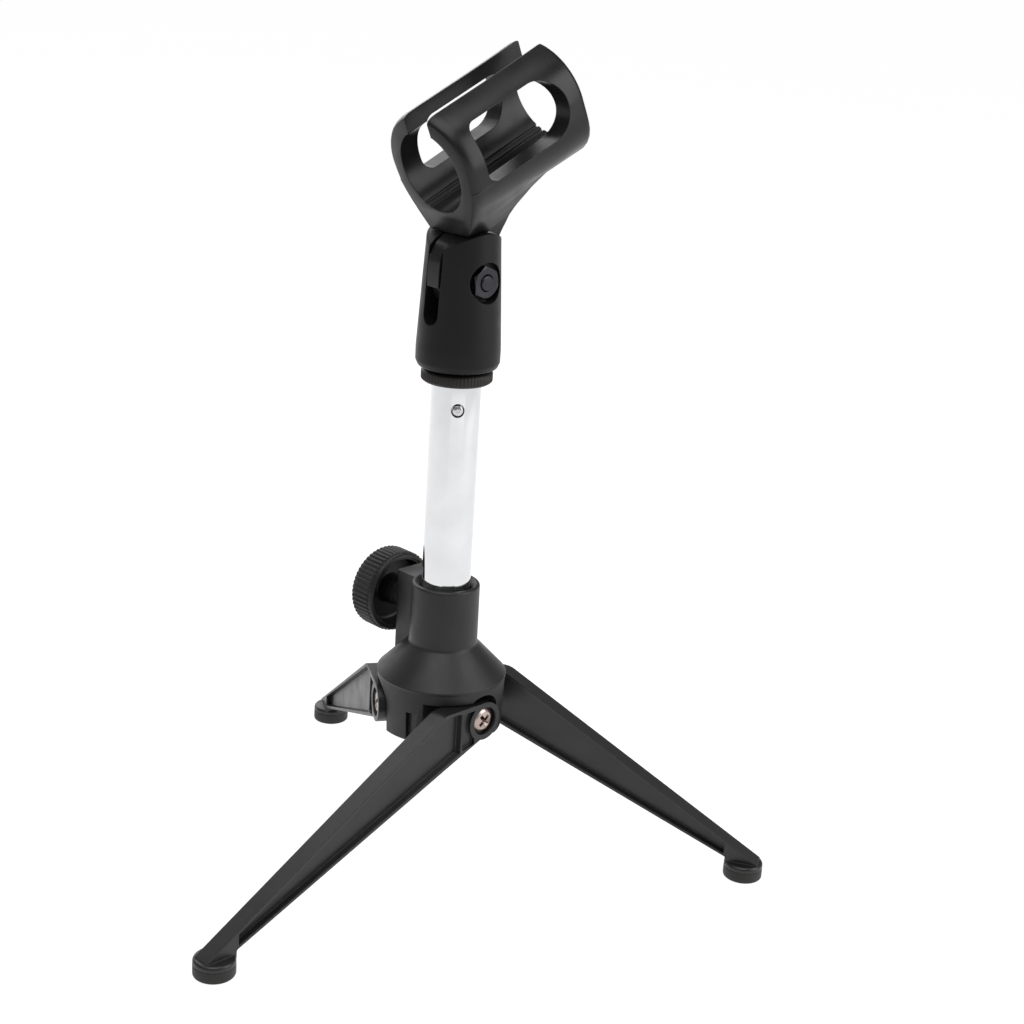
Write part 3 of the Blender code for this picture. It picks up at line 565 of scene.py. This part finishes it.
def make_column():
    """The tube and the small screw near its top that holds the plug."""
    low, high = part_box("column_tube")
    bottom, top = low.z / MM, high.z / MM
    wall = rounded([(7.2, bottom, 0.1), (7.2, top, 0.2), (8.0, top, 0.25), (8.0, bottom, 0.25)], 4)
    screw_low, screw_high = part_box("plug_screw")
    middle = (screw_low + screw_high) / 2 / MM
    axis = COLUMN.to_translation()
    facing = turn(degrees(atan2(middle.y - axis.y, middle.x - axis.x)))
    place = move(0, 0, middle.z) @ facing @ ALONG_X
    sink = turned([(0, 5), (1.9, 5), (1.9, 7.2), (2.5, 8.5), (0, 8.5)], 64)
    tube = combined(turned(wall, 192), ("DIFFERENCE", moved(sink, place)))
    piece("column_chrome", tube, COLUMN, CHROME, "chrome", "column", "column_tube")
    head = [(0, 3.6, 0), (1.0, 3.6, 0), (1.0, 7.0, 0), (1.7, 7.4, 0.1), (1.65, 8.1, 0.3)]
    head += [(0.7, 8.5, 0.4), (0, 8.5, 0)]
    dimple = turned([(0, 8.2), (0.45, 8.2), (0.6, 9), (0, 9)], 24)
    rivet = combined(turned(rounded(head, 4), 48), ("DIFFERENCE", dimple))
    piece("plug_rivet", rivet, COLUMN @ place, ZINC, "zinc_steel", "column", "plug_screw")


# ---------------------------------------------------------------- clip base


def make_ring():
    """The knurled adapter ring with the thread that the clip base sits on."""
    low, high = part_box("adapter_ring")
    outer_r = (high.x - low.x) / 2 / MM
    bottom = low.z / MM
    sides = RING_RIBS * 4
    wave = [1.0, 0.6, 0.0, 0.6]
    levels = [(0.0, -0.9, 0), (0.3, -0.45, 0), (0.75, -0.25, 1)]
    levels += [(3.2, -0.25, 1), (3.5, -0.3, 0), (3.9, -0.9, 0)]
    rings = []
    for height, inset, ribbed in levels:
        radii = [outer_r + inset + ribbed * 0.25 * wave[i % 4] for i in range(sides)]
        ring = [(r * cos(2 * pi * i / sides), r * sin(2 * pi * i / sides)) for i, r in enumerate(radii)]
        rings.append((bottom + height, ring))
    thread = turned([(0, bottom + 3), (7.5, bottom + 3), (7.5, bottom + 13.8), (0, bottom + 13.8)], 96)
    bore = turned([(0, bottom - 1), (5.06, bottom - 1), (5.06, bottom + 15), (0, bottom + 15)], 96)
    ring = combined(loft(rings), ("UNION", thread), ("DIFFERENCE", bore))
    piece("adapter_knurl", ring, COLUMN, RING_NYLON, "dark_nylon", "head", "adapter_ring")


def make_clip_base():
    """The slotted base, with the tilt bolt and its nut."""
    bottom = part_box("clip_base")[0].z / MM
    profile = [
        (0, bottom, 0),
        (11.4, bottom, 0.3),
        (12.6, bottom + 0.5, 1.0),
        (13.38, bottom + 2.2, 1.8),
        (13.4, bottom + 6.5, 8.0),
        (12.97, bottom + 14.8, 20.0),
        (12.3, bottom + 27.5, 20.0),
        (11.6, bottom + 40.0, 4.0),
        (11.4, bottom + 45.0, 0),
        (0, bottom + 45.0, 0),
    ]
    reach = 16.0
    lift = move(0, 0, TILT_Z)
    crown = arc((0.0, 0.0), DOME_R, 176.0, 4.0, 48)
    crown = [(-reach, crown[0][1]), *crown, (reach, crown[-1][1]), (reach, 20.0), (-reach, 20.0)]
    slot_floor = arc((0.0, SLOT_LOW + SLOT_HALF), SLOT_HALF, 180.0, 360.0, 20)
    slot = [*slot_floor, (SLOT_HALF, 220.0), (-SLOT_HALF, 220.0)]
    recess = [(0, -reach), (6.1, -reach), (6.1, -RECESS_X), (BOLT_HOLE_R, -RECESS_X)]
    recess += [(BOLT_HOLE_R, RECESS_X), (6.4, RECESS_X), (6.4, reach), (0, reach)]
    steps = [
        ("DIFFERENCE", moved(prism(crown, -reach, reach), lift @ SIDE_PLANE)),
        ("DIFFERENCE", moved(prism(slot, -reach, reach), FRONT_PLANE)),
        ("DIFFERENCE", turned([(0, bottom - 1), (7.94, bottom - 1), (7.94, 180.2), (0, 180.2)], 96)),
        ("DIFFERENCE", moved(turned(recess, 96, 0.5), lift @ ALONG_X)),
    ]
    # Two small moulding notches at the lower edge
    for angle, half, height in ((-86.0, 0.45, 4.6), (-101.0, 0.65, 2.6)):
        notch = []
        for depth, side, top, soft in ((12.4, half, height - 0.3, 0.2), (14.5, half + 0.3, height, 0.3)):
            corners = [(-1.0, -side, soft), (top, -side, soft), (top, side, soft), (-1.0, side, soft)]
            notch.append((depth, rounded(corners)))
        notch_place = turn(angle) @ move(0, 0, bottom + 1.3) @ turn(-90, "Y") @ turn(180)
        steps.append(("DIFFERENCE", moved(loft(notch), notch_place)))
    base = combined(turned(rounded(profile, 10), 144, 0.9), *steps)
    piece("clip_base_moulding", base, COLUMN, BASE_NYLON, "black_nylon", "head", "clip_base")

    hexagon = arc((0.0, 0.0), 5.4, 8.0, 308.0, 5)
    dome = rounded([(0, 8, 0), (5.5, 8, 0), (5.5, 10.8, 0.1), (4.6, 11.35, 0.2), (0, 11.4, 0)], 3)
    bolt_way = turned([(0, 8), (BOLT_HOLE_R, 8), (BOLT_HOLE_R, 14), (0, 14)], 48)
    chamfered = ("INTERSECT", turned(dome, 72))
    nut = combined(prism(hexagon, 9.25, 11.4), chamfered, ("DIFFERENCE", bolt_way))
    place = COLUMN @ lift @ ALONG_X
    piece("tilt_nut_hex", nut, place, BLACK_STEEL, "black_steel", "head", "tilt_nut")
    shank = [(0, -11.8, 0), (3.4, -11.5, 0.8), (4.3, -10.6, 0.6), (4.3, -9.3, 0.1)]
    shank += [(BOLT_R, -9.3, 0), (BOLT_R, 11.9, 0.5), (0, 12.0, 0)]
    slot = box((-0.55, -6, -13), (0.55, 6, -10.6))
    bolt = combined(turned(rounded(shank, 5), 72), ("DIFFERENCE", slot))
    piece("tilt_bolt_turned", bolt, place, BLACK_STEEL, "black_steel", "head", "tilt_bolt")


# ---------------------------------------------------------------- clip


def barrel_outline(scale, square):
    """The barrel's outside from its end, round above and, as square goes from 0 to 1, squarer below."""
    radius = BARREL_R * scale
    shoulder = [(17.74, -3.8), (17.75, -7.6), (17.45, -9.9), (16.6, -12.3)]
    shoulder += [(15.2, -14.4), (13.3, -16.2), (11.0, -17.6), (8.4, -18.4)]
    trim = [0.4, 0.9, 1.5, 1.9, 1.9, 1.5, 0.9, 0.3]
    shoulder = [(x - (1 - square) * less, y) for (x, y), less in zip(shoulder, trim)]
    right = [(x * scale, BARREL_AXIS + y * scale) for x, y in shoulder]
    left = [(-x, y) for x, y in reversed(right)]
    return arc((0.0, BARREL_AXIS), radius, 180.0, 0.0, 72) + right + left


def bore_outline(half, floor, top):
    """The barrel's inside from its end: an upright oval."""
    middle = (floor + top) / 2
    tall = (top - floor) / 2
    steps = 96
    return [(half * cos(2 * pi * i / steps), middle + tall * sin(2 * pi * i / steps)) for i in range(steps)]


def make_clip():
    """The barrel, its neck and its tongue. Here +Y runs along the barrel and +Z is square to it."""
    length = BARREL_BACK - BARREL_FRONT
    levels = []
    stretch = ((12.0, 1.0), (25.0, 1.0), (40.0, 1.008))
    rear = ((length - 1.6, 1.02), (length - 0.7, 1.015), (length - 0.2, 1.0), (length, 0.98))
    for height, scale in (*FRONT_ROUND, *stretch, *rear):
        levels.append((BARREL_FRONT + height, barrel_outline(scale, min(1.0, height / 40.0))))
    barrel = moved(loft(levels), FRONT_PLANE)

    side = [
        (-1.0, 9.0, 0),
        (12.7, 6.0, 0),
        (12.7, 8.8, 0.5),
        (16.4, 11.4, 2.0),
        (20.5, 14.8, 12.0),
        (27.5, 18.6, 5.0),
        (36.0, 21.0, 0),
        (36.0, 32.0, 0),
        (-1.0, 32.0, 0),
    ]
    flare = [
        (17.3, 31.0),
        (16.0, 27.5),
        (14.4, 24.2),
        (12.6, 21.0),
        (10.8, 18.0),
        (9.2, 15.5),
        (7.9, 13.0),
        (7.5, 10.5),
        (7.4, 4.0),
    ]
    levels = []
    for height, scale in (*FRONT_ROUND, (37.0, 1.0)):
        right = [(x * scale, z) for x, z in flare]
        levels.append((BARREL_FRONT + 0.02 + height, right + [(-x, z) for x, z in reversed(right)]))
    neck = moved(loft(levels), FRONT_PLANE)
    under = moved(turned([(0, -20), (DOME_R + 0.5, -20), (DOME_R + 0.5, 20), (0, 20)], 160), ALONG_X)
    neck = combined(
        neck,
        ("INTERSECT", moved(prism(rounded(side, 8), -20, 20), SIDE_PLANE)),
        ("DIFFERENCE", under),
    )
    blade = arc((0.0, 0.0), 10.2, 168.0, 378.0, 72)
    blade += [(12.8, 9.5), (12.8, 24.0), (0.9, 24.0)]
    nose = [(0.9, 15.0, 0), (-4.2, 14.0, 6.0), (-7.8, 11.1, 8.0), (-10.3, 6.7, 0), (-11.9, 3.0, 0.3)]
    blade += rounded([*nose, (-9.0, 2.4, 0)])
    tongue = moved(prism(blade, -TONGUE_HALF, TONGUE_HALF), SIDE_PLANE)

    far = BARREL_BACK + 1
    bore = moved(loft([(-1.0, bore_outline(*BORE_FRONT)), (far, bore_outline(*BORE_BACK))]), FRONT_PLANE)
    mouth = box((-LIP_HALF, -1, BARREL_AXIS), (LIP_HALF, far, 60))
    window = [(7.5, 30.5, 4.0), (44.5, 30.5, 8.5), (44.5, 49.5, 9.5), (7.5, 49.5, 3.5)]
    window = moved(prism(rounded(window, 12), -30, 30), SIDE_PLANE)
    hole = moved(turned([(0, -9), (BOLT_HOLE_R, -9), (BOLT_HOLE_R, 9), (0, 9)], 48), ALONG_X)
    steps = [("UNION", neck), ("UNION", tongue), ("DIFFERENCE", bore), ("DIFFERENCE", mouth)]
    steps += [("DIFFERENCE", window), ("DIFFERENCE", hole)]
    # Four fine grooves along the bore's floor
    for offset in (-6.6, -4.6, 4.6, 6.6):
        groove = turned([(0, -1), (0.55, -1), (0.55, far), (0, far)], 16)
        depth = 36.1 - 13.35 * sqrt(1 - (offset / 12.3) ** 2)
        steps.append(("DIFFERENCE", moved(groove, move(offset, 0, depth) @ turn(-90, "X"))))
    clip = combined(barrel, *steps)
    lift = COLUMN @ move(0, 0, TILT_Z) @ turn(BARREL_TILT, "X")
    piece("mic_clip_moulding", clip, lift, CLIP_NYLON, "black_nylon", "clip", "mic_clip")


# ---------------------------------------------------------------- studio


def make_camera():
    """Placed from the column's axis; yaw, pitch and roll are about the camera's own spot."""
    yaw, pitch, roll = radians(CAMERA_YAW), radians(CAMERA_PITCH), radians(CAMERA_ROLL)
    ahead = Vector((sin(yaw) * cos(pitch), cos(yaw) * cos(pitch), -sin(pitch)))
    level = Vector((cos(yaw), -sin(yaw), 0.0))
    down = -level.cross(ahead)
    right = cos(roll) * level + sin(roll) * down
    down = -sin(roll) * level + cos(roll) * down
    facing = Matrix((right, -down, -ahead)).transposed().to_4x4()
    stand = COLUMN @ turn(CAMERA_TURN) @ move(0, -CAMERA_BACK, CAMERA_HEIGHT)
    data = bpy.data.cameras.new("camera")
    data.lens = CAMERA_LENS
    data.sensor_width = 36.0
    data.clip_start = 0.01
    camera = bpy.data.objects.new("camera", data)
    bpy.context.scene.collection.objects.link(camera)
    spot = stand.to_translation() * MM
    camera.matrix_world = Matrix.Translation(spot) @ (turn(CAMERA_TURN) @ facing)
    bpy.context.scene.camera = camera


def make_light(name, azimuth, height, distance, size, watts, colour=(1.0, 1.0, 1.0)):
    """A soft box that faces the stand. The azimuth is counted from the camera, positive to its right."""
    data = bpy.data.lights.new(name, "AREA")
    data.shape = "RECTANGLE"
    data.size, data.size_y = size
    data.energy = watts
    data.color = colour
    light = bpy.data.objects.new(name, data)
    bpy.context.scene.collection.objects.link(light)
    angle = radians(CAMERA_TURN + azimuth)
    spot = Vector((sin(angle) * distance, -cos(angle) * distance, height))
    light.location = spot + COLUMN.to_translation() * MM
    light.rotation_euler = (Vector((0, 0, 0.13)) - spot).to_track_quat("-Z", "Y").to_euler()
    return light


def make_studio():
    """A pale table and three soft boxes under a dim sky."""
    world = bpy.data.worlds.new("studio")
    world.use_nodes = True
    bpy.context.scene.world = world
    world.node_tree.nodes["Background"].inputs["Color"].default_value = (1.0, 1.0, 1.0, 1.0)
    world.node_tree.nodes["Background"].inputs["Strength"].default_value = 0.25
    bm = bmesh.new()
    bmesh.ops.create_grid(bm, x_segments=4, y_segments=4, size=12.0)
    mesh = bpy.data.meshes.new("table")
    bm.to_mesh(mesh)
    bm.free()
    mesh.materials.append(paper_white("white_table"))
    table = bpy.data.objects.new("table", mesh)
    bpy.context.scene.collection.objects.link(table)
    table.location.z = -0.0002
    make_light("top", -20.0, 1.25, 0.35, (1.0, 1.0), 9.0)
    make_light("back_left", -150.0, 0.6, 0.9, (0.9, 0.9), 5.0)
    make_light("right", 75.0, 0.6, 0.9, (0.6, 0.9), 6.0)
    scene = bpy.context.scene
    scene.view_settings.view_transform = "Standard"
    scene.view_settings.look = "None"


# ---------------------------------------------------------------- assembly

for spare in list(bpy.data.objects):
    bpy.data.objects.remove(spare, do_unlink=True)
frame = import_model()
joints = {joint["name"]: joint for joint in frame["joints"]}
leg_joints = [joints[f"leg_{i}_fold"] for i in (1, 2, 3)]

PIVOT_Z = leg_joints[0]["pos_m"][2] / MM
TILT_Z = joints["clip_tilt"]["pos_m"][2] / MM
KNOB_Z = joints["knob_turn"]["pos_m"][2] / MM
COLUMN = move(joints["clip_tilt"]["pos_m"][0] / MM, joints["clip_tilt"]["pos_m"][1] / MM, 0)
KNOB_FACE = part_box("clamp_knob")[0].x / MM - COLUMN.to_translation().x + KNOB_THICK

NYLON = moulded("satin_nylon", (0.006, 0.006, 0.0065), (0.009, 0.0088, 0.0095), 0.38, specular=0.5)
WARM_NYLON = moulded("hub_nylon", (0.0075, 0.007, 0.007), (0.011, 0.0102, 0.0102), 0.45, specular=0.42)
CLIP_NYLON = moulded("clip_nylon", (0.005, 0.005, 0.0055), (0.008, 0.0078, 0.0085), 0.31, specular=0.28)
BASE_NYLON = moulded("base_nylon", (0.004, 0.0038, 0.004), (0.006, 0.0057, 0.0061), 0.44, specular=0.2)
KNOB_NYLON = moulded("knob_nylon", (0.007, 0.0065, 0.0065), (0.010, 0.0093, 0.0093), 0.46)
RING_NYLON = moulded("ring_nylon", (0.009, 0.0065, 0.006), (0.013, 0.0095, 0.0085), 0.5)
RUBBER = moulded("foot_rubber", (0.013, 0.0125, 0.012), (0.02, 0.019, 0.018), 0.55, 0.02)
CHROME = plated("chrome_plate", (0.66, 0.665, 0.68), (0.72, 0.725, 0.735), 0.05, 0.1, (1.0, 1.0, 0.05))
ZINC = plated("zinc_plate", (0.5, 0.5, 0.52), (0.62, 0.62, 0.64), 0.22)
PINK_NICKEL = plated("pink_nickel", (0.40, 0.32, 0.29), (0.54, 0.44, 0.41), 0.28)
BLACK_STEEL = plated("black_oxide", (0.035, 0.035, 0.04), (0.055, 0.055, 0.062), 0.38)
BRASS = plated("turned_brass", (0.62, 0.43, 0.16), (0.74, 0.54, 0.24), 0.25)

for name, finish in (
    ("column_stop", NYLON),
    ("threaded_plug", ZINC),
    ("clamp_screw", ZINC),
    ("clamp_nut", BRASS),
    ("clamp_pad", BRASS),
):
    node = frame["nodes"][name]
    node.data.materials.clear()
    node.data.materials.append(finish)

make_hub(leg_joints)
for number, leg_joint in enumerate(leg_joints, 1):
    make_leg(number, leg_joint)
make_knob()
make_column()
make_ring()
make_clip_base()
make_clip()
make_camera()
make_studio()
